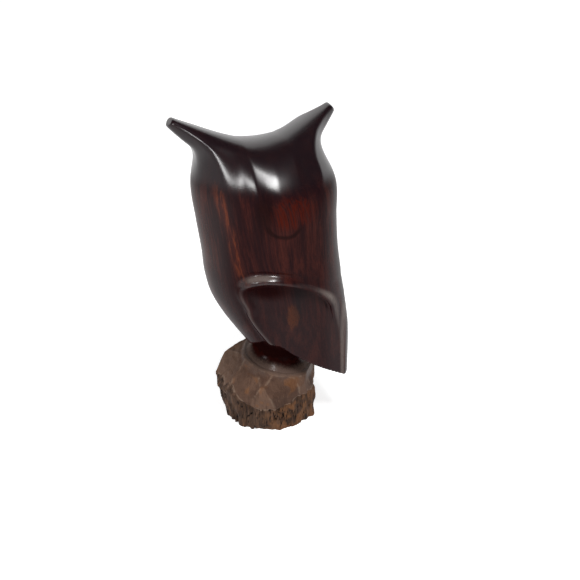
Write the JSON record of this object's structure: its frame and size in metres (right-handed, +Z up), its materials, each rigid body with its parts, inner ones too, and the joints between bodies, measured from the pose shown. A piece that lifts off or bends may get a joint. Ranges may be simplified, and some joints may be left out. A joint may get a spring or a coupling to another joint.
{
  "type": "owl figurine",
  "caption": "Stylised horned owl carved in dark polished hardwood, head turned aside, on a rough-hewn wooden block. Stands freely on its flat base.",
  "frame": {"origin": "middle of the base block's flat underside", "axes": "+Z up from the ground to the ear tips, -Y towards the owl's breast, +Y towards its tail, +X towards its left wing"},
  "size_m": [0.0837, 0.1016, 0.1842],
  "materials": {
    "polished_dark_wood": "dark close-grained hardwood, sanded fine and polished to a gloss",
    "rough_brown_wood": "split and chiselled, unpolished, matt",
    "pale_beech": "turned and fluted dowel, bare"
  },
  "bodies": {
    "root": {"owl_figure": "polished_dark_wood", "base_block": "rough_brown_wood", "mounting_dowel": "pale_beech"}
  },
  "joints": []
}
